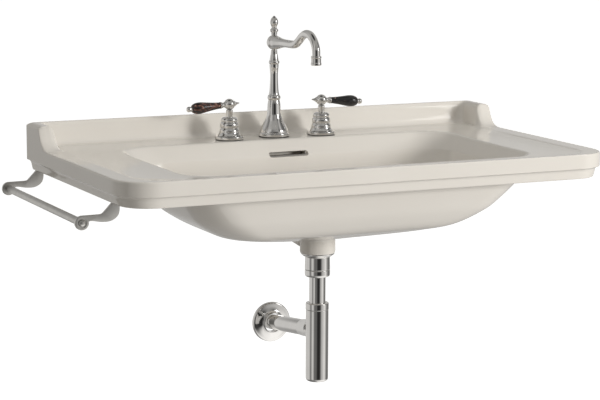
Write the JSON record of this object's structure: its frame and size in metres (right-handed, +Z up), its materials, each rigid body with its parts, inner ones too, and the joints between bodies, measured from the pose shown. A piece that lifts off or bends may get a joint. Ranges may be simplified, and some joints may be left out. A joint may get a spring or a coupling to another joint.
{
  "type": "washbasin",
  "caption": "Wall-hung ceramic washbasin with upstand, swivelling spout, lever taps, press waste, bottle trap and side towel rail.",
  "frame": {"origin": "on the wall plane, at the middle of the basin's back, level with the rim's top face", "axes": "+Y into the wall, -Y towards the person using it, +X to the right of a person facing the wall, +Z up"},
  "size_m": [1.055, 0.555, 0.7061],
  "materials": {
    "basin": "glossy glazed off-white",
    "overflow_trim": "polished",
    "spout_column": "polished",
    "spout_tube": "polished",
    "aerator": "polished",
    "spout_finial": "polished",
    "waste_fitting": "polished",
    "waste_plug": "polished",
    "waste_sleeve": "polished",
    "waste_washer": "polished",
    "trap_inlet_nut": "polished",
    "trap_inlet_tube": "polished",
    "trap_cap": "polished",
    "trap_bottle": "polished",
    "trap_outlet_nut": "polished",
    "trap_outlet_tube": "polished",
    "wall_flange": "polished",
    "rail_bracket_front": "polished",
    "rail_bracket_rear": "polished",
    "rail_bar": "polished",
    "rail_end_screw_front": "polished",
    "rail_end_screw_rear": "polished",
    "spout_seal": "matt",
    "spout_washer": "matt",
    "trap_seal": "matt",
    "spout_shank": "machined",
    "spout_nut": "machined",
    "spout_tee": "machined",
    "wall_stud_left": "zinc plated",
    "wall_stud_right": "zinc plated",
    "wall_washer_left": "zinc plated",
    "wall_washer_right": "zinc plated",
    "wall_nut_left": "zinc plated",
    "wall_nut_right": "zinc plated",
    "rail_fixing_screw_front": "zinc plated",
    "rail_fixing_screw_rear": "zinc plated",
    "left_valve_seal": "matt",
    "left_valve_washer": "matt",
    "left_valve_base": "polished",
    "left_valve_bell": "polished",
    "left_spindle": "polished",
    "left_lever_hub": "polished",
    "left_lever_collar": "polished",
    "left_lever_cap": "polished",
    "left_link_pipe": "polished",
    "left_valve_body": "machined",
    "left_valve_nut": "machined",
    "left_lever_grip": "glossy marbled brown",
    "right_valve_seal": "matt",
    "right_valve_washer": "matt",
    "right_valve_base": "polished",
    "right_valve_bell": "polished",
    "right_spindle": "polished",
    "right_lever_hub": "polished",
    "right_lever_collar": "polished",
    "right_lever_cap": "polished",
    "right_link_pipe": "polished",
    "right_valve_body": "machined",
    "right_valve_nut": "machined",
    "right_lever_grip": "glossy marbled black"
  },
  "bodies": {
    "fixture": {"basin": "basin", "overflow_trim": "overflow_trim", "spout_column": "spout_column", "spout_finial": "spout_finial", "waste_fitting": "waste_fitting", "waste_sleeve": "waste_sleeve", "waste_washer": "waste_washer", "trap_inlet_nut": "trap_inlet_nut", "trap_inlet_tube": "trap_inlet_tube", "trap_cap": "trap_cap", "trap_bottle": "trap_bottle", "trap_outlet_nut": "trap_outlet_nut", "trap_outlet_tube": "trap_outlet_tube", "wall_flange": "wall_flange", "rail_bracket_front": "rail_bracket_front", "rail_bracket_rear": "rail_bracket_rear", "rail_bar": "rail_bar", "rail_end_screw_front": "rail_end_screw_front", "rail_end_screw_rear": "rail_end_screw_rear", "spout_seal": "spout_seal", "spout_washer": "spout_washer", "trap_seal": "trap_seal", "spout_shank": "spout_shank", "spout_nut": "spout_nut", "spout_tee": "spout_tee", "wall_stud_left": "wall_stud_left", "wall_stud_right": "wall_stud_right", "wall_washer_left": "wall_washer_left", "wall_washer_right": "wall_washer_right", "wall_nut_left": "wall_nut_left", "wall_nut_right": "wall_nut_right", "rail_fixing_screw_front": "rail_fixing_screw_front", "rail_fixing_screw_rear": "rail_fixing_screw_rear", "left_valve_seal": "left_valve_seal", "left_valve_washer": "left_valve_washer", "left_valve_base": "left_valve_base", "left_valve_bell": "left_valve_bell", "left_link_pipe": "left_link_pipe", "left_valve_body": "left_valve_body", "left_valve_nut": "left_valve_nut", "right_valve_seal": "right_valve_seal", "right_valve_washer": "right_valve_washer", "right_valve_base": "right_valve_base", "right_valve_bell": "right_valve_bell", "right_link_pipe": "right_link_pipe", "right_valve_body": "right_valve_body", "right_valve_nut": "right_valve_nut"},
    "spout": {"spout_tube": "spout_tube", "aerator": "aerator"},
    "left_lever": {"left_spindle": "left_spindle", "left_lever_hub": "left_lever_hub", "left_lever_collar": "left_lever_collar", "left_lever_grip": "left_lever_grip", "left_lever_cap": "left_lever_cap"},
    "right_lever": {"right_spindle": "right_spindle", "right_lever_hub": "right_lever_hub", "right_lever_collar": "right_lever_collar", "right_lever_grip": "right_lever_grip", "right_lever_cap": "right_lever_cap"},
    "plug": {"waste_plug": "waste_plug"}
  },
  "joints": [
    {"name": "spout_swivel", "type": "hinge", "parent": "fixture", "child": "spout", "pos_m": [0, -0.073, 0.191], "axis": [0, 0, 1], "range_deg": [-60, 60]},
    {"name": "left_lever_turn", "type": "hinge", "parent": "fixture", "child": "left_lever", "pos_m": [-0.102, -0.082, 0.071], "axis": [0, 0, 1], "range_deg": [0, 90]},
    {"name": "right_lever_turn", "type": "hinge", "parent": "fixture", "child": "right_lever", "pos_m": [0.102, -0.082, 0.071], "axis": [0, 0, 1], "range_deg": [-90, 0]},
    {"name": "plug_press", "type": "slide", "parent": "fixture", "child": "plug", "axis": [0, 0, 1], "range_m": [-0.008, 0]}
  ]
}
